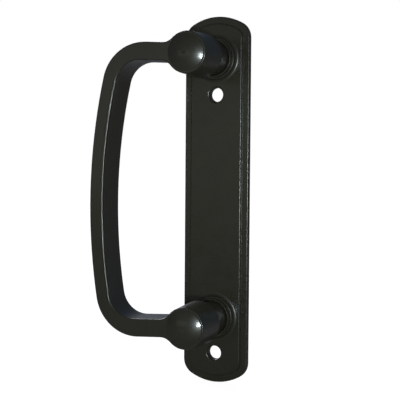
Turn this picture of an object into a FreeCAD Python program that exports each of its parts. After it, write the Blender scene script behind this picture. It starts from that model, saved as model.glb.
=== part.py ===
import FreeCAD, Part
import math
import os

# Rigid pull handle for a sliding patio door: a long escutcheon plate screwed to the door,
# two round posts standing on it near its ends, and a D-shaped grip carried by the posts.
#
# Frame: X runs across the plate, Z up the door, and Y into the door.
# The plate's back face lies on y = 0, so a height above the door is a negative y.
# The origin is midway between the two door-fixing holes, on the back face.
# All sizes are in millimetres.

Vector = FreeCAD.Vector

# Spacings up the door, centre to centre
hole_spacing = 168.3       # door-fixing holes, 6 5/8 in
post_spacing = 167.4
post_rise = 23.6           # middle of the posts above the middle of the holes

# Escutcheon plate
plate_width = 44.4
end_above_post = 27.5      # plate's top end above the upper post
end_below_hole = 19.5      # plate's bottom end below the lower fixing hole
end_radius = 33.5          # shallow arc that closes each end
corner_radius = 11.0       # tighter arc between an end and a side
flange_thickness = 3.2     # low step that runs round the edge
flange_width = 4.5
panel_height = 5.0         # front of the raised panel above the door
flange_round = 0.9
panel_round = 1.0
fixing_hole_radius = 4.5
fixing_hole_lip = 1.5      # rounded mouth of a fixing hole

# Hollow back of the casting
rim_width = 6.0
floor_thickness = 2.3
rib_thickness = 1.8
rib_setback = 0.4          # ribs stop short of the door face
rib_pitch = 24.0
fixing_boss_wall = 3.6
post_boss_wall = 3.0

# D-shaped grip
grip_front = 55.6          # flat front face above the door
grip_depth = 22.8
grip_reach = 64.7          # post axis to the outermost point of the bar
bar_width = 9.0
arm_width = 11.2
arm_splay = 3.1            # degrees that each arm opens outward from its post
bow_radius = 358.0         # outer face of the bar
bow_drop = 10.0            # the bow is deepest this far below the grip's middle
outer_corner = 27.3
inner_corner = 16.2
front_round = 0.8
back_round = 1.5

# Bell-shaped head on each arm's end, with a domed cap
head_radius = 12.9         # at the grip's front
head_flare = 9.0           # hollow curve from the arm into the head
skirt_radius = 13.9        # at the head's rear rim
skirt_length = 4.0         # rear rim behind the grip's back
skirt_round = 2.6
cap_rim_radius = 11.5
cap_step = 0.5             # straight rim of the cap above the grip's front
cap_radius = 25.0

# Posts between plate and grip
post_radius = 10.8
seat_depth = 1.0           # post foot let into the plate
spigot_radius = 7.5
spigot_length = 2.5        # post end let into the head
post_end_chamfer = 0.4

# Stepped collar round each post's foot
collar_height = 7.0
collar_radius = 12.6       # upper step
collar_edge = 0.35
collar_mouth = 0.9         # bevel inside the collar, seen as a dark line round the post
collar_step_height = 3.3   # lower step above the plate
collar_step_radius = 13.4
collar_step_round = 0.4
collar_foot_radius = 15.9
collar_foot_land = 0.25    # straight rim of the foot on the plate
collar_cove = 2.5          # hollow curve from the foot up to the lower step

# Countersunk grip screws, driven from the plate's back
screw_radius = 2.5
screw_length = 44.0
screw_head_radius = 4.8
screw_head_land = 0.4      # straight rim of the head
screw_recess = 0.3         # head below the door face
screw_point = 0.8
drive_length = 5.0
drive_width = 1.0
drive_depth = 1.8

# Fits
sliding_gap = 0.1          # between round pieces that slide together
thread_gap = 0.05
screw_play = 0.4           # screw in its clearance holes
bottom_gap = 0.5           # under spigots
drill_margin = 3.0         # blind thread beyond the screw's end

# Places worked out from the sizes above
post_z = (post_rise + post_spacing / 2, post_rise - post_spacing / 2)
hole_z = (hole_spacing / 2, -hole_spacing / 2)
plate_top = post_z[0] + end_above_post
plate_bottom = hole_z[1] - end_below_hole
grip_back = grip_front - grip_depth
skirt_back = grip_back - skirt_length
outward = Vector(0, -1, 0)


def at(x, z, height):
    """A point above the door face."""
    return Vector(x, -height, z)


def polar(centre, radius, degrees):
    """The point at a distance from a centre, in a direction given in degrees."""
    angle = math.radians(degrees)
    return centre[0] + radius * math.cos(angle), centre[1] + radius * math.sin(angle)


def bearing(centre, point):
    """Direction of a point seen from a centre, from 0 to 360 degrees."""
    return math.degrees(math.atan2(point[1] - centre[1], point[0] - centre[0])) % 360


def arc(centre, radius, start, end):
    """Arc as a step of an outline: a point that it passes through, and its end."""
    return polar(centre, radius, (start + end) / 2), polar(centre, radius, end)


def walk(start, steps):
    """Outline as pieces, each its start, a point on it if it is an arc, and its end."""
    pieces = []
    for step in steps:
        curved = isinstance(step[0], tuple)
        through, end = step if curved else (None, step)
        if math.dist(start, end) > 1e-6:
            pieces.append((start, through, end))
        start = end
    return pieces


def reverse(pieces):
    """The same pieces walked the other way."""
    return [(end, through, start) for start, through, end in reversed(pieces)]


def mirror(pieces):
    """The same pieces turned over about the middle line."""
    return [tuple(point and (point[0], -point[1]) for point in piece) for piece in pieces]


def wire(pieces, place):
    """Wire of an outline, with place giving the point in space of each flat point."""
    edges = []
    for start, through, end in pieces:
        if through:
            edges.append(Part.Arc(place(start), place(through), place(end)).toShape())
        else:
            edges.append(Part.makeLine(place(start), place(end)))
    return Part.Wire(edges)


def prism(pieces, low, high, shift=0):
    """Solid with an outline parallel to the door, between two heights above it."""
    base = wire(pieces, lambda point: at(point[0], point[1] + shift, low))
    return Part.Face(base).extrude(outward * (high - low))


def turned(pieces, z):
    """Solid turned about the axis x = 0 at one height up the door, from (radius, height) points."""
    profile = wire(pieces, lambda point: at(point[0], z, point[1]))
    return Part.Face(profile).revolve(at(0, z, 0), outward, 360)


def disc(z, radius, low, high):
    """Round solid on the axis x = 0, between two heights above the door."""
    return Part.makeCylinder(radius, high - low, at(0, z, low), outward)


def edges_at(shape, height):
    """Edges that lie at one height above the door."""
    found = []
    for edge in shape.Edges:
        box = edge.BoundBox
        if abs(box.YMin + height) < 1e-4 and abs(box.YMax + height) < 1e-4:
            found.append(edge)
    return found


# Escutcheon plate

def plate_outline(inset):
    """Plate's edge moved inward: straight sides, a shallow arc at each end and tighter corners."""
    side = plate_width / 2 - inset
    corner = corner_radius - inset
    corner_x = plate_width / 2 - corner_radius
    rise = math.sqrt((end_radius - corner_radius) ** 2 - corner_x ** 2)
    turn = math.degrees(math.atan2(rise, corner_x))
    end = end_radius - inset
    top = plate_top - end_radius
    bottom = plate_bottom + end_radius
    upper = top + rise
    lower = bottom - rise
    return walk((side, lower), [
        (side, upper),
        arc((corner_x, upper), corner, 0, turn),
        arc((0, top), end, turn, 180 - turn),
        arc((-corner_x, upper), corner, 180 - turn, 180),
        (-side, lower),
        arc((-corner_x, lower), corner, 180, 180 + turn),
        arc((0, bottom), end, 180 + turn, 360 - turn),
        arc((corner_x, lower), corner, 360 - turn, 360),
    ])


def plate_blank():
    """Flange and raised panel with rounded edges, solid at the back."""
    flange = prism(plate_outline(0), 0, flange_thickness)
    flange = flange.makeFillet(flange_round, edges_at(flange, flange_thickness))
    panel = prism(plate_outline(flange_width), 0, panel_height)
    panel = panel.makeFillet(panel_round, edges_at(panel, panel_height))
    return flange.fuse(panel).removeSplitter()


def back_ribs(high):
    """Ribs of the hollow back: one up the middle and evenly spaced ones across it."""
    length = plate_top - plate_bottom
    depth = high - rib_setback
    half = rib_thickness / 2
    ribs = [Part.makeBox(rib_thickness, depth, length, Vector(-half, -high, plate_bottom))]
    middle = (plate_top + plate_bottom) / 2
    count = int((length / 2 - rim_width) / rib_pitch)
    for step in range(-count, count + 1):
        corner = Vector(-plate_width / 2, -high, middle + step * rib_pitch - half)
        ribs.append(Part.makeBox(plate_width, depth, rib_thickness, corner))
    return ribs


def hollow_back():
    """Space cast into the plate's back, with ribs and bosses left standing in it."""
    depth = panel_height - floor_thickness
    space = prism(plate_outline(rim_width), 0, depth)
    standing = back_ribs(depth)
    for z in hole_z:
        standing.append(disc(z, fixing_hole_radius + fixing_boss_wall, 0, depth))
    for z in post_z:
        standing.append(disc(z, screw_head_radius + post_boss_wall, 0, depth))
    return space.cut(standing)


def fixing_hole(z):
    """Through hole for a door screw, with a rounded mouth at the front."""
    lip = panel_height - fixing_hole_lip
    mouth = fixing_hole_radius + fixing_hole_lip
    return turned(walk((0, -1), [
        (fixing_hole_radius, -1),
        (fixing_hole_radius, lip),
        arc((mouth, lip), fixing_hole_lip, 180, 90),
        (mouth, panel_height + 1),
        (0, panel_height + 1),
        (0, -1),
    ]), z)


def screw_seat(z):
    """Countersink, clearance hole and post seat, cut through the plate on a post's axis."""
    clear = screw_radius + screw_play
    rim = screw_head_radius + sliding_gap
    straight = screw_recess + screw_head_land
    seat = post_radius + sliding_gap
    return turned(walk((0, -1), [
        (rim, -1),
        (rim, straight),
        (clear, straight + rim - clear),
        (clear, panel_height - seat_depth),
        (seat, panel_height - seat_depth),
        (seat, panel_height + 1),
        (0, panel_height + 1),
        (0, -1),
    ]), z)


def escutcheon_plate():
    plate = plate_blank().cut(hollow_back())
    plate = plate.cut([fixing_hole(z) for z in hole_z])
    return plate.cut([screw_seat(z) for z in post_z])


# D-shaped grip

def grip_edge(side, radius, bow, bow_rise):
    """One edge of the grip's upper half, from the head to the deepest point of the bar's bow.

    The side is 1 for the outer edge and -1 for the inner one. The flare leads from the round
    head into the arm, and a corner of the given radius from the arm into the bow.
    """
    head = (0, post_spacing / 2)
    bow_centre = (bow_radius - grip_reach, bow_rise)
    along = 180 - arm_splay
    up = 90 - arm_splay
    facing = up if side > 0 else up + 180
    half = arm_width / 2

    lead = math.sqrt((head_radius + head_flare) ** 2 - (half + head_flare) ** 2)
    flare = polar(polar(head, half + head_flare, facing), lead, along)
    turn = bearing(head, flare)

    start = polar(head, side * half - radius, up)
    gap = (start[0] - bow_centre[0], start[1] - bow_centre[1])
    ahead = polar((0, 0), 1, along)
    forward = gap[0] * ahead[0] + gap[1] * ahead[1]
    spare = (bow - radius) ** 2 - gap[0] ** 2 - gap[1] ** 2
    corner = polar(start, math.sqrt(forward ** 2 + spare) - forward, along)
    bend = bearing(bow_centre, corner)

    pieces = walk(polar(head, head_radius, turn), [
        arc(flare, head_flare, turn + 180, facing + 180),
        polar(corner, radius, up),
        arc(corner, radius, up, bend),
        arc(bow_centre, bow, bend, 180),
    ])
    return pieces, turn


def grip_outline():
    """Outline of the whole grip, about the middle between its heads."""
    inner_bow = bow_radius - bar_width
    outer, outer_turn = grip_edge(1, outer_corner, bow_radius, -bow_drop)
    inner, inner_turn = grip_edge(-1, inner_corner, inner_bow, -bow_drop)
    lower_outer = mirror(grip_edge(1, outer_corner, bow_radius, bow_drop)[0])
    lower_inner = mirror(grip_edge(-1, inner_corner, inner_bow, bow_drop)[0])
    around = arc((0, post_spacing / 2), head_radius, inner_turn, outer_turn + 360)
    head = walk(inner[0][0], [around])
    lower_head = mirror(reverse(head))
    return head + outer + reverse(lower_outer) + lower_head + lower_inner + reverse(inner)


def bell(z):
    """Round head that widens towards its rear rim, behind the arm's back."""
    base = grip_front - front_round
    edge = skirt_radius - skirt_round
    return turned(walk((0, skirt_back), [
        (edge, skirt_back),
        arc((edge, skirt_back + skirt_round), skirt_round, 270, 360),
        (head_radius, base),
        (0, base),
        (0, skirt_back),
    ]), z)


def domed_cap(z):
    """Dome on the front of a head, with a small step round its rim."""
    base = grip_front - front_round
    rim = grip_front + cap_step
    centre = rim - math.sqrt(cap_radius ** 2 - cap_rim_radius ** 2)
    lean = bearing((0, centre), (cap_rim_radius, rim))
    return turned(walk((0, base), [
        (cap_rim_radius, base),
        (cap_rim_radius, rim),
        arc((0, centre), cap_radius, lean, 90),
        (0, base),
    ]), z)


def head_socket(z):
    """Blind hole in the back of a head for the post's spigot and the screw's thread."""
    spigot = disc(z, spigot_radius + sliding_gap, skirt_back - 1, skirt_back + spigot_length + bottom_gap)
    end = screw_recess + screw_length + drill_margin
    return spigot.fuse(disc(z, screw_radius + thread_gap, skirt_back, end))


def pull_grip():
    grip = prism(grip_outline(), grip_back, grip_front, post_rise).removeSplitter()
    grip = grip.makeFillet(front_round, edges_at(grip, grip_front))
    grip = grip.makeFillet(back_round, edges_at(grip, grip_back))
    for z in post_z:
        grip = grip.fuse([bell(z), domed_cap(z)])
    return grip.cut([head_socket(z) for z in post_z])


# Posts and their collars

def post(z):
    """Round post, with its foot in the plate, a spigot in the head and the screw's hole through it."""
    foot = panel_height - seat_depth
    bore = screw_radius + screw_play
    bevel = post_end_chamfer
    return turned(walk((bore, foot), [
        (post_radius - bevel, foot),
        (post_radius, foot + bevel),
        (post_radius, skirt_back),
        (spigot_radius, skirt_back),
        (spigot_radius, skirt_back + spigot_length - bevel),
        (spigot_radius - bevel, skirt_back + spigot_length),
        (bore, skirt_back + spigot_length),
        (bore, foot),
    ]), z)


def collar(z):
    """Stepped ring round a post's foot, spreading onto the plate in a hollow curve."""
    bore = post_radius + sliding_gap
    top = panel_height + collar_height
    step = panel_height + collar_step_height
    land = panel_height + collar_foot_land
    rim = collar_step_radius - collar_step_round
    return turned(walk((bore, panel_height), [
        (collar_foot_radius, panel_height),
        (collar_foot_radius, land),
        arc((collar_foot_radius, land + collar_cove), collar_cove, 270, 180),
        (collar_step_radius, step - collar_step_round),
        arc((rim, step - collar_step_round), collar_step_round, 0, 90),
        (collar_radius, step),
        (collar_radius, top - collar_edge),
        (collar_radius - collar_edge, top),
        (bore + collar_mouth, top),
        (bore, top - collar_mouth),
        (bore, panel_height),
    ]), z)


# Grip screws

def cross_drive(z):
    """Cross-shaped recess in a screw's head, narrowing inward."""
    low = screw_recess
    deep = low + drive_depth
    half = drive_length / 2
    foot = half - drive_depth / 2
    blades = []
    for turn in (0, 90):
        blade = wire(walk((-half, low - 1), [
            (half, low - 1),
            (half, low),
            (foot, deep),
            (-foot, deep),
            (-half, low),
            (-half, low - 1),
        ]), lambda point: at(point[0], z - drive_width / 2, point[1]))
        blade = Part.Face(blade).extrude(Vector(0, 0, drive_width))
        blade.rotate(at(0, z, 0), outward, turn)
        blades.append(blade)
    return blades[0].fuse(blades[1])


def grip_screw(z):
    """Countersunk machine screw, its head just below the door face and its point in the head."""
    low = screw_recess
    land = low + screw_head_land
    neck = land + screw_head_radius - screw_radius
    end = low + screw_length
    body = turned(walk((0, low), [
        (screw_head_radius, low),
        (screw_head_radius, land),
        (screw_radius, neck),
        (screw_radius, end - screw_point),
        (screw_radius - screw_point, end),
        (0, end),
        (0, low),
    ]), z)
    return body.cut(cross_drive(z))


def save(name, shape):
    """Writes one piece, or a group of equal pieces, and checks that it is sound."""
    if not shape.isValid() or shape.Volume <= 0:
        raise ValueError(name + " is not a sound solid")
    shape.exportStep(os.path.join("parts", name + ".step"))
    print(name, len(shape.Solids), "solid,", round(shape.Volume / 1000, 2), "cm3")


os.makedirs("parts", exist_ok=True)
save("escutcheon_plate", escutcheon_plate())
save("pull_grip", pull_grip())
save("upper_post", post(post_z[0]))
save("lower_post", post(post_z[1]))
save("upper_collar", collar(post_z[0]))
save("lower_collar", collar(post_z[1]))
save("grip_screws", Part.makeCompound([grip_screw(z) for z in post_z]))
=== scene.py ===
"""Looks of a sliding patio door handle: dark bronze paint, plated screws, studio and camera.

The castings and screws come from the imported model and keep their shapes.
All sizes are in metres, in the frame of the model: X across the plate, Y into the door, Z up.
The scale of a noise texture is in bumps per metre.
"""

import math

import bpy
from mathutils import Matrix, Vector


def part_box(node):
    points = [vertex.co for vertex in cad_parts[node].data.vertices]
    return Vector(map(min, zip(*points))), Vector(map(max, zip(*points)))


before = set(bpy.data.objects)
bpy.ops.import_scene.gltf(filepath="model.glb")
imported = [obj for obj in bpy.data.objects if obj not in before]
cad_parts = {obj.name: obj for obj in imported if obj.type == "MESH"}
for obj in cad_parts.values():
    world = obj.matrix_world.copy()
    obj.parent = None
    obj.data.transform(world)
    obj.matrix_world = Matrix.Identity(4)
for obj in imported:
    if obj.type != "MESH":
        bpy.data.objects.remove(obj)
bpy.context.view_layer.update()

bl_info = {
    "name": "Patio door handle finish",
    "version": (1, 0, 0),
    "blender": (4, 5, 0),
    "location": "View3D > Sidebar > Handle",
    "description": "Finishes, studio and camera for a sliding patio door handle",
    "category": "Object",
}

PAINT_GROUP = "Sprayed paint"
PICTURE_SIDE = 400
SENSOR_WIDTH = 36.0
FLOOR_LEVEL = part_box("escutcheon_plate")[0].z
LAMP_TARGET = Vector((0.0, -0.03, 0.035))
FRONT_LAMP_COLOUR = (0.87, 0.99, 1.0)
WHITE = (1.0, 1.0, 1.0, 1.0)


class PaintSettings(bpy.types.PropertyGroup):
    """Dark bronze paint on the castings."""

    body_colour: bpy.props.FloatVectorProperty(
        name="Body colour", description="Paint where it is thickest",
        subtype="COLOR", size=3, min=0.0, max=1.0, default=(0.0204, 0.0189, 0.0128))
    thin_colour: bpy.props.FloatVectorProperty(
        name="Thin colour", description="Paint where it has pulled thin or carries more bronze",
        subtype="COLOR", size=3, min=0.0, max=1.0, default=(0.0275, 0.0247, 0.0169))
    fleck_colour: bpy.props.FloatVectorProperty(
        name="Fleck colour", description="Fine metal flecks in the paint",
        subtype="COLOR", size=3, min=0.0, max=1.0, default=(0.053, 0.046, 0.033))
    roughness: bpy.props.FloatProperty(
        name="Roughness", description="Middle of the satin sheen",
        min=0.0, max=1.0, default=0.26)
    roughness_spread: bpy.props.FloatProperty(
        name="Roughness spread", description="How much the sheen varies over a casting",
        min=0.0, max=0.5, default=0.06)
    clear_roughness: bpy.props.FloatProperty(
        name="Clear coat roughness", description="Blur of the clear coat that the grip carries",
        min=0.0, max=1.0, default=0.15)
    peel_size: bpy.props.FloatProperty(
        name="Peel size", description="Width of one bump of the sprayed surface",
        unit="LENGTH", min=0.0001, max=0.01, default=0.0011)
    peel_height: bpy.props.FloatProperty(
        name="Peel height", description="Height of the sprayed surface's bumps",
        unit="LENGTH", min=0.0, max=0.001, default=0.000012)


class SteelSettings(bpy.types.PropertyGroup):
    """Zinc-plated steel of the grip screws."""

    bright_colour: bpy.props.FloatVectorProperty(
        name="Bright colour", description="Fresh plating",
        subtype="COLOR", size=3, min=0.0, max=1.0, default=(0.60, 0.61, 0.62))
    dull_colour: bpy.props.FloatVectorProperty(
        name="Dull colour", description="Plating that has gone slightly yellow",
        subtype="COLOR", size=3, min=0.0, max=1.0, default=(0.47, 0.46, 0.42))
    bright_roughness: bpy.props.FloatProperty(
        name="Bright roughness", description="Shine of fresh plating",
        min=0.0, max=1.0, default=0.22)
    dull_roughness: bpy.props.FloatProperty(
        name="Dull roughness", description="Shine of plating that has gone slightly yellow",
        min=0.0, max=1.0, default=0.42)


class StageSettings(bpy.types.PropertyGroup):
    """Floor, light and the photograph's camera."""

    azimuth: bpy.props.FloatProperty(
        name="Azimuth", description="Camera's direction round the handle",
        subtype="ANGLE", default=math.radians(22.22))
    elevation: bpy.props.FloatProperty(
        name="Elevation", description="Camera's angle above the horizon",
        subtype="ANGLE", default=math.radians(1.84))
    roll: bpy.props.FloatProperty(
        name="Roll", description="Camera's turn about its own axis",
        subtype="ANGLE", default=math.radians(0.44))
    distance: bpy.props.FloatProperty(
        name="Distance", description="From the aim point to the lens",
        unit="LENGTH", default=0.6637)
    aim: bpy.props.FloatVectorProperty(
        name="Aim", description="Point in the plane of the door that the camera looks at",
        subtype="TRANSLATION", size=3, default=(-0.01273, 0.0, 0.02848))
    focal_pixels: bpy.props.FloatProperty(
        name="Focal length", description="Focal length in pixels of the square picture",
        default=1006.9)
    shift: bpy.props.FloatVectorProperty(
        name="Shift", description="Lens shift, as a share of the picture's side",
        size=2, default=(0.0, -0.0500))
    room_light: bpy.props.FloatProperty(
        name="Room light", description="Even light from the surroundings",
        min=0.0, default=0.20)
    room_colour: bpy.props.FloatVectorProperty(
        name="Room colour", description="Colour of the even light from the surroundings",
        subtype="COLOR", size=3, min=0.0, max=1.0, default=(1.0, 0.96, 0.98))
    room_mirrored: bpy.props.FloatProperty(
        name="Room in reflections", description="Brightness of the room that the paint mirrors",
        min=0.0, default=0.10)
    mirrored_colour: bpy.props.FloatVectorProperty(
        name="Mirrored colour", description="Colour of the room that the paint mirrors",
        subtype="COLOR", size=3, min=0.0, max=1.0, default=(0.45, 0.66, 1.0))
    backdrop_mirrored: bpy.props.FloatProperty(
        name="Backdrop in reflections", description="Brightness of the backdrop that the paint mirrors",
        min=0.0, default=0.08)
    backdrop_core: bpy.props.FloatProperty(
        name="Backdrop core", description="Half width of the white backdrop behind the handle",
        subtype="ANGLE", default=math.radians(16.0))
    backdrop_edge: bpy.props.FloatProperty(
        name="Backdrop edge", description="Half width at which the backdrop has faded into the room",
        subtype="ANGLE", default=math.radians(34.0))
    floor_size: bpy.props.FloatProperty(
        name="Floor size", description="Side of the floor",
        unit="LENGTH", default=12.0)
    floor_colour: bpy.props.FloatVectorProperty(
        name="Floor colour", description="What the floor throws back of the lamps' light",
        subtype="COLOR", size=3, min=0.0, max=1.0, default=(0.20, 0.21, 0.23))
    floor_mirrored: bpy.props.FloatProperty(
        name="Floor in reflections", description="Brightness of the floor that the paint mirrors",
        min=0.0, default=0.03)
    floor_near_glow: bpy.props.FloatProperty(
        name="Floor near the handle", description="How white the floor is next to the handle",
        min=0.0, max=1.0, default=0.95)
    floor_near: bpy.props.FloatProperty(
        name="Near floor", description="Distance within which the floor is at its darkest",
        unit="LENGTH", default=0.25)
    floor_far: bpy.props.FloatProperty(
        name="Far floor", description="Distance from which the floor is as white as the surroundings",
        unit="LENGTH", default=0.9)


def clear_selection():
    """Deselects everything, so that the next operator acts on one piece."""
    bpy.ops.object.select_all(action="DESELECT")
    bpy.context.view_layer.objects.active = None


def place(nodes, node_type, x, y, **sockets):
    """A node of a tree at a place in its editor, with some of its inputs set."""
    node = nodes.new(node_type)
    node.location = (x, y)
    for name, value in sockets.items():
        node.inputs[name.replace("_", " ")].default_value = value
    return node


def group_socket(group, name, direction, kind):
    """Adds a named input or output to a node group."""
    group.interface.new_socket(name=name, in_out=direction, socket_type=kind)


def paint_group():
    """Sprayed paint: slow colour drift, fine metal flecks, uneven sheen and a peel texture."""
    group = bpy.data.node_groups.new(PAINT_GROUP, "ShaderNodeTree")
    group_socket(group, "Body Colour", "INPUT", "NodeSocketColor")
    group_socket(group, "Thin Colour", "INPUT", "NodeSocketColor")
    group_socket(group, "Fleck Colour", "INPUT", "NodeSocketColor")
    group_socket(group, "Roughness", "INPUT", "NodeSocketFloat")
    group_socket(group, "Roughness Spread", "INPUT", "NodeSocketFloat")
    group_socket(group, "Peel Scale", "INPUT", "NodeSocketFloat")
    group_socket(group, "Colour", "OUTPUT", "NodeSocketColor")
    group_socket(group, "Roughness", "OUTPUT", "NodeSocketFloat")
    group_socket(group, "Peel", "OUTPUT", "NodeSocketFloat")
    nodes, link = group.nodes, group.links.new
    given = place(nodes, "NodeGroupInput", -900, 0)
    result = place(nodes, "NodeGroupOutput", 700, 0)
    where = place(nodes, "ShaderNodeTexCoord", -900, -400)

    drift = place(nodes, "ShaderNodeTexNoise", -600, 300, Scale=38.0, Detail=3.0, Roughness=0.55)
    flecks = place(nodes, "ShaderNodeTexNoise", -600, 0, Scale=3600.0, Detail=1.0, Roughness=0.5)
    wipe = place(nodes, "ShaderNodeTexNoise", -600, -300, Scale=120.0, Detail=4.0, Roughness=0.6)
    peel = place(nodes, "ShaderNodeTexNoise", -600, -600, Detail=2.0, Roughness=0.5)
    for texture in (drift, flecks, wipe, peel):
        link(where.outputs["Object"], texture.inputs["Vector"])
    link(given.outputs["Peel Scale"], peel.inputs["Scale"])

    blend = place(nodes, "ShaderNodeMix", -200, 300)
    blend.data_type = "RGBA"
    link(drift.outputs["Fac"], blend.inputs["Factor"])
    link(given.outputs["Body Colour"], blend.inputs["A"])
    link(given.outputs["Thin Colour"], blend.inputs["B"])

    fleck_mask = place(nodes, "ShaderNodeMapRange", -400, 0)
    fleck_mask.inputs["From Min"].default_value = 0.60
    fleck_mask.inputs["From Max"].default_value = 0.78
    fleck_mask.inputs["To Max"].default_value = 0.6
    link(flecks.outputs["Fac"], fleck_mask.inputs["Value"])
    coloured = place(nodes, "ShaderNodeMix", 100, 200)
    coloured.data_type = "RGBA"
    link(fleck_mask.outputs["Result"], coloured.inputs["Factor"])
    link(blend.outputs["Result"], coloured.inputs["A"])
    link(given.outputs["Fleck Colour"], coloured.inputs["B"])
    link(coloured.outputs["Result"], result.inputs["Colour"])

    low = place(nodes, "ShaderNodeMath", -200, -100)
    low.operation = "SUBTRACT"
    high = place(nodes, "ShaderNodeMath", -200, -260)
    high.operation = "ADD"
    for limit in (low, high):
        link(given.outputs["Roughness"], limit.inputs[0])
        link(given.outputs["Roughness Spread"], limit.inputs[1])
    sheen = place(nodes, "ShaderNodeMapRange", 100, -150)
    sheen.inputs["From Min"].default_value = 0.3
    sheen.inputs["From Max"].default_value = 0.7
    link(wipe.outputs["Fac"], sheen.inputs["Value"])
    link(low.outputs["Value"], sheen.inputs["To Min"])
    link(high.outputs["Value"], sheen.inputs["To Max"])
    link(sheen.outputs["Result"], result.inputs["Roughness"])
    link(peel.outputs["Fac"], result.inputs["Peel"])
    return group


def painted(name, roughness_shift=0.0, peel_share=1.0, shine=0.42, clear_coat=0.0):
    """Bronze paint for one kind of casting, under a clear coat where one is asked for."""
    paint = bpy.context.scene.handle_paint
    material = bpy.data.materials.new(name)
    material.use_nodes = True
    nodes, link = material.node_tree.nodes, material.node_tree.links.new
    shader = nodes["Principled BSDF"]
    shader.inputs["Specular IOR Level"].default_value = shine
    shader.inputs["Coat Weight"].default_value = clear_coat
    shader.inputs["Coat Roughness"].default_value = paint.clear_roughness
    spray = place(nodes, "ShaderNodeGroup", -500, 0)
    spray.node_tree = bpy.data.node_groups.get(PAINT_GROUP) or paint_group()
    spray.inputs["Body Colour"].default_value = (*paint.body_colour, 1.0)
    spray.inputs["Thin Colour"].default_value = (*paint.thin_colour, 1.0)
    spray.inputs["Fleck Colour"].default_value = (*paint.fleck_colour, 1.0)
    spray.inputs["Roughness"].default_value = paint.roughness + roughness_shift
    spray.inputs["Roughness Spread"].default_value = paint.roughness_spread
    spray.inputs["Peel Scale"].default_value = 1.0 / paint.peel_size
    bump = place(nodes, "ShaderNodeBump", -250, -250, Strength=1.0)
    bump.inputs["Distance"].default_value = paint.peel_height * peel_share
    link(spray.outputs["Peel"], bump.inputs["Height"])
    link(spray.outputs["Colour"], shader.inputs["Base Color"])
    link(spray.outputs["Roughness"], shader.inputs["Roughness"])
    link(bump.outputs["Normal"], shader.inputs["Normal"])
    return material


def plated_steel():
    """Zinc plating with a fine grain and slightly yellow, duller patches."""
    steel = bpy.context.scene.handle_steel
    material = bpy.data.materials.new("Zinc-plated steel")
    material.use_nodes = True
    nodes, link = material.node_tree.nodes, material.node_tree.links.new
    shader = nodes["Principled BSDF"]
    shader.inputs["Metallic"].default_value = 1.0
    where = place(nodes, "ShaderNodeTexCoord", -1000, 0)
    patches = place(nodes, "ShaderNodeTexNoise", -700, 200, Scale=600.0, Detail=4.0, Roughness=0.6)
    grain = place(nodes, "ShaderNodeTexNoise", -500, -200, Scale=3000.0, Detail=2.0, Roughness=0.5)
    link(where.outputs["Object"], patches.inputs["Vector"])
    link(where.outputs["Object"], grain.inputs["Vector"])
    colour = place(nodes, "ShaderNodeMix", -250, 200)
    colour.data_type = "RGBA"
    colour.inputs["A"].default_value = (*steel.bright_colour, 1.0)
    colour.inputs["B"].default_value = (*steel.dull_colour, 1.0)
    link(patches.outputs["Fac"], colour.inputs["Factor"])
    link(colour.outputs["Result"], shader.inputs["Base Color"])
    sheen = place(nodes, "ShaderNodeMapRange", -250, -50)
    sheen.inputs["To Min"].default_value = steel.bright_roughness
    sheen.inputs["To Max"].default_value = steel.dull_roughness
    link(patches.outputs["Fac"], sheen.inputs["Value"])
    link(sheen.outputs["Result"], shader.inputs["Roughness"])
    bump = place(nodes, "ShaderNodeBump", -250, -300, Strength=0.6, Distance=0.00001)
    link(grain.outputs["Fac"], bump.inputs["Height"])
    link(bump.outputs["Normal"], shader.inputs["Normal"])
    return material


def wear(node_name, material):
    """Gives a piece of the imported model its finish."""
    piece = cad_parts[node_name]
    piece.data.materials.clear()
    piece.data.materials.append(material)


class HANDLE_OT_plate(bpy.types.Operator):
    """Paints the escutcheon plate"""

    bl_idname = "handle.plate"
    bl_label = "Escutcheon plate"

    def execute(self, context):
        wear("escutcheon_plate", painted("Plate paint", roughness_shift=0.02))
        return {"FINISHED"}


class HANDLE_OT_grip(bpy.types.Operator):
    """Paints the pull grip"""

    bl_idname = "handle.grip"
    bl_label = "Pull grip"

    def execute(self, context):
        grip_paint = painted("Grip paint", roughness_shift=0.10, shine=0.30, clear_coat=0.45)
        wear("pull_grip", grip_paint)
        return {"FINISHED"}


class HANDLE_OT_posts(bpy.types.Operator):
    """Paints both posts and their collars"""

    bl_idname = "handle.posts"
    bl_label = "Posts and collars"

    def execute(self, context):
        post_paint = painted("Post paint", roughness_shift=0.08, peel_share=0.7)
        for name in ("upper_post", "lower_post", "upper_collar", "lower_collar"):
            wear(name, post_paint)
        return {"FINISHED"}


class HANDLE_OT_screws(bpy.types.Operator):
    """Plates the grip screws"""

    bl_idname = "handle.screws"
    bl_label = "Grip screws"

    def execute(self, context):
        wear("grip_screws", plated_steel())
        return {"FINISHED"}


def look_from(azimuth, elevation):
    """Direction from the handle to a viewer, in radians; azimuth 0 is straight in front of the door."""
    level = math.cos(elevation)
    return Vector((math.sin(azimuth) * level, -math.cos(azimuth) * level, math.sin(elevation)))


def soft_lamp(name, azimuth, elevation, distance, width, height, power, colour, spread=180.0):
    """Soft box that faces the middle of the handle; angles in degrees, power in watts."""
    data = bpy.data.lights.new(name, "AREA")
    data.shape = "RECTANGLE"
    data.size = width
    data.size_y = height
    data.energy = power
    data.color = colour
    data.spread = math.radians(spread)
    lamp = bpy.data.objects.new(name, data)
    bpy.context.collection.objects.link(lamp)
    back = look_from(math.radians(azimuth), math.radians(elevation))
    lamp.location = LAMP_TARGET + back * distance
    lamp.rotation_euler = back.to_track_quat("Z", "Y").to_euler()


def math_node(nodes, link, operation, first, second, x, y):
    """Math node on two values, each a socket or a number."""
    node = place(nodes, "ShaderNodeMath", x, y)
    node.operation = operation
    for socket, value in zip(node.inputs, (first, second)):
        if isinstance(value, (int, float)):
            socket.default_value = value
        else:
            link(value, socket)
    return node.outputs["Value"]


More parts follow.
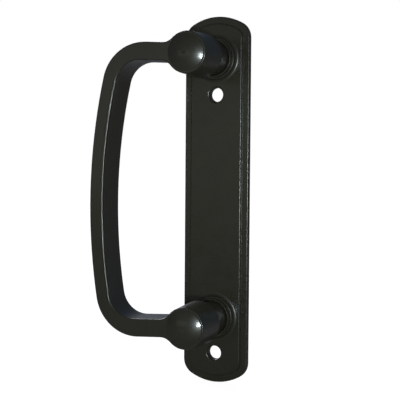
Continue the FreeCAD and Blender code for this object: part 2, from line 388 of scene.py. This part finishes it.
def seen_background(nodes, link, mirrored, x, y):
    """One for the camera's rays and glass, the mirrored value for reflections, nought elsewhere."""
    path = place(nodes, "ShaderNodeLightPath", x, y)
    glossy = math_node(nodes, link, "MULTIPLY", path.outputs["Is Glossy Ray"], mirrored, x + 200, y)
    clear = math_node(nodes, link, "MAXIMUM", path.outputs["Is Camera Ray"],
                      path.outputs["Is Transmission Ray"], x + 200, y - 200)
    return math_node(nodes, link, "MAXIMUM", glossy, clear, x + 400, y)


def studio_world():
    """Surroundings: white to the camera, dim and bluish in reflections, and a low even light."""
    stage = bpy.context.scene.handle_stage
    world = bpy.data.worlds.new("Studio")
    bpy.context.scene.world = world
    world.use_nodes = True
    nodes, link = world.node_tree.nodes, world.node_tree.links.new
    light = nodes["Background"]
    tint = place(nodes, "ShaderNodeMix", -300, -150)
    tint.data_type = "RGBA"
    tint.inputs["A"].default_value = (*stage.room_colour, 1.0)
    tint.inputs["B"].default_value = (*stage.mirrored_colour, 1.0)
    path = place(nodes, "ShaderNodeLightPath", -700, -400)
    dim = place(nodes, "ShaderNodeMapRange", -300, -400)
    dim.inputs["To Min"].default_value = stage.room_light
    dim.inputs["To Max"].default_value = stage.room_mirrored
    link(path.outputs["Is Glossy Ray"], tint.inputs["Factor"])
    link(tint.outputs["Result"], light.inputs["Color"])
    link(path.outputs["Is Glossy Ray"], dim.inputs["Value"])
    link(dim.outputs["Result"], light.inputs["Strength"])
    where = place(nodes, "ShaderNodeTexCoord", -1500, 0)
    toward = place(nodes, "ShaderNodeVectorMath", -1300, 0)
    toward.operation = "DOT_PRODUCT"
    toward.inputs[1].default_value = -look_from(stage.azimuth, stage.elevation)
    link(where.outputs["Generated"], toward.inputs[0])
    backdrop = place(nodes, "ShaderNodeMapRange", -1100, 0)
    backdrop.interpolation_type = "SMOOTHSTEP"
    backdrop.inputs["From Min"].default_value = math.cos(stage.backdrop_edge)
    backdrop.inputs["From Max"].default_value = math.cos(stage.backdrop_core)
    link(toward.outputs["Value"], backdrop.inputs["Value"])
    seen = place(nodes, "ShaderNodeBackground", 0, -200, Color=WHITE, Strength=1.0)
    mix = place(nodes, "ShaderNodeMixShader", 250, 0)
    shown = math_node(nodes, link, "MULTIPLY", backdrop.outputs["Result"],
                      stage.backdrop_mirrored, -900, 200)
    link(seen_background(nodes, link, shown, -700, 200), mix.inputs["Fac"])
    link(light.outputs["Background"], mix.inputs[1])
    link(seen.outputs["Background"], mix.inputs[2])
    link(mix.outputs["Shader"], nodes["World Output"].inputs["Surface"])


def floor_material():
    """Pale floor that reads as white and keeps a soft shadow."""
    stage = bpy.context.scene.handle_stage
    material = bpy.data.materials.new("Pale floor")
    material.use_nodes = True
    nodes, link = material.node_tree.nodes, material.node_tree.links.new
    nodes.remove(nodes["Principled BSDF"])
    lit = place(nodes, "ShaderNodeBsdfDiffuse", 0, 100, Color=(*stage.floor_colour, 1.0))
    glow = place(nodes, "ShaderNodeEmission", 0, -100, Color=WHITE)
    where = place(nodes, "ShaderNodeTexCoord", -1500, -300)
    reach = place(nodes, "ShaderNodeVectorMath", -1300, -300)
    reach.operation = "LENGTH"
    link(where.outputs["Object"], reach.inputs[0])
    level = place(nodes, "ShaderNodeMapRange", -1100, -300)
    level.interpolation_type = "SMOOTHSTEP"
    level.inputs["From Min"].default_value = stage.floor_near
    level.inputs["From Max"].default_value = stage.floor_far
    level.inputs["To Min"].default_value = stage.floor_near_glow
    link(reach.outputs["Value"], level.inputs["Value"])
    seen = seen_background(nodes, link, stage.floor_mirrored, -900, -100)
    white = math_node(nodes, link, "MULTIPLY", seen, level.outputs["Result"], -200, -100)
    link(white, glow.inputs["Strength"])
    both = place(nodes, "ShaderNodeAddShader", 250, 0)
    link(lit.outputs["BSDF"], both.inputs[0])
    link(glow.outputs["Emission"], both.inputs[1])
    link(both.outputs["Shader"], nodes["Material Output"].inputs["Surface"])
    return material


def photo_camera():
    """Camera at the photograph's viewing angle."""
    stage = bpy.context.scene.handle_stage
    data = bpy.data.cameras.new("Photo camera")
    data.sensor_fit = "HORIZONTAL"
    data.sensor_width = SENSOR_WIDTH
    data.lens = stage.focal_pixels / PICTURE_SIDE * SENSOR_WIDTH
    data.shift_x, data.shift_y = stage.shift
    camera = bpy.data.objects.new("Photo camera", data)
    bpy.context.collection.objects.link(camera)
    back = look_from(stage.azimuth, stage.elevation)
    camera.location = Vector(stage.aim) + back * stage.distance
    turn = back.to_track_quat("Z", "Y")
    camera.rotation_euler = turn.to_euler()
    camera.rotation_euler.rotate_axis("Z", stage.roll)
    bpy.context.scene.camera = camera


class HANDLE_OT_stage(bpy.types.Operator):
    """Adds the floor, the lamps, the surroundings and the camera"""

    bl_idname = "handle.stage"
    bl_label = "Studio and camera"

    def execute(self, context):
        stage = context.scene.handle_stage
        context.scene.view_settings.view_transform = "Standard"
        clear_selection()
        bpy.ops.mesh.primitive_plane_add(size=stage.floor_size, location=(0.0, 0.0, FLOOR_LEVEL))
        floor = context.active_object
        floor.name = "Floor"
        floor.data.materials.append(floor_material())
        studio_world()
        soft_lamp("Key lamp", azimuth=24.5, elevation=2.0, distance=0.75, width=0.04, height=0.04,
                  power=0.18, colour=FRONT_LAMP_COLOUR, spread=60.0)
        soft_lamp("Low lamp", azimuth=24.5, elevation=-4.2, distance=0.75, width=0.05, height=0.05,
                  power=0.25, colour=FRONT_LAMP_COLOUR, spread=60.0)
        soft_lamp("Left lamp", azimuth=-22.0, elevation=3.0, distance=1.5, width=0.9, height=0.36,
                  power=0.40, colour=(1.0, 1.0, 0.82))
        soft_lamp("Back lamp", azimuth=228.0, elevation=35.0, distance=1.8, width=0.8, height=0.8,
                  power=4.0, colour=(0.95, 0.98, 1.0), spread=90.0)
        photo_camera()
        return {"FINISHED"}


class HANDLE_PT_panel(bpy.types.Panel):
    """Steps of the handle's finish, with their settings"""

    bl_label = "Patio door handle"
    bl_idname = "HANDLE_PT_panel"
    bl_space_type = "VIEW_3D"
    bl_region_type = "UI"
    bl_category = "Handle"

    def draw(self, context):
        layout = self.layout
        for operator in OPERATORS:
            layout.operator(operator.bl_idname)
        for group in (context.scene.handle_paint, context.scene.handle_steel, context.scene.handle_stage):
            box = layout.box()
            for name in group.__annotations__:
                box.prop(group, name)


SETTINGS = (PaintSettings, SteelSettings, StageSettings)
OPERATORS = (HANDLE_OT_plate, HANDLE_OT_grip, HANDLE_OT_posts, HANDLE_OT_screws, HANDLE_OT_stage)
CLASSES = SETTINGS + OPERATORS + (HANDLE_PT_panel,)


def register():
    for item in CLASSES:
        bpy.utils.register_class(item)
    bpy.types.Scene.handle_paint = bpy.props.PointerProperty(type=PaintSettings)
    bpy.types.Scene.handle_steel = bpy.props.PointerProperty(type=SteelSettings)
    bpy.types.Scene.handle_stage = bpy.props.PointerProperty(type=StageSettings)


def unregister():
    del bpy.types.Scene.handle_stage
    del bpy.types.Scene.handle_steel
    del bpy.types.Scene.handle_paint
    for item in reversed(CLASSES):
        bpy.utils.unregister_class(item)


def main():
    """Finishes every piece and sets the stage."""
    register()
    bpy.ops.handle.plate()
    bpy.ops.handle.grip()
    bpy.ops.handle.posts()
    bpy.ops.handle.screws()
    bpy.ops.handle.stage()


if __name__ == "__main__":
    main()
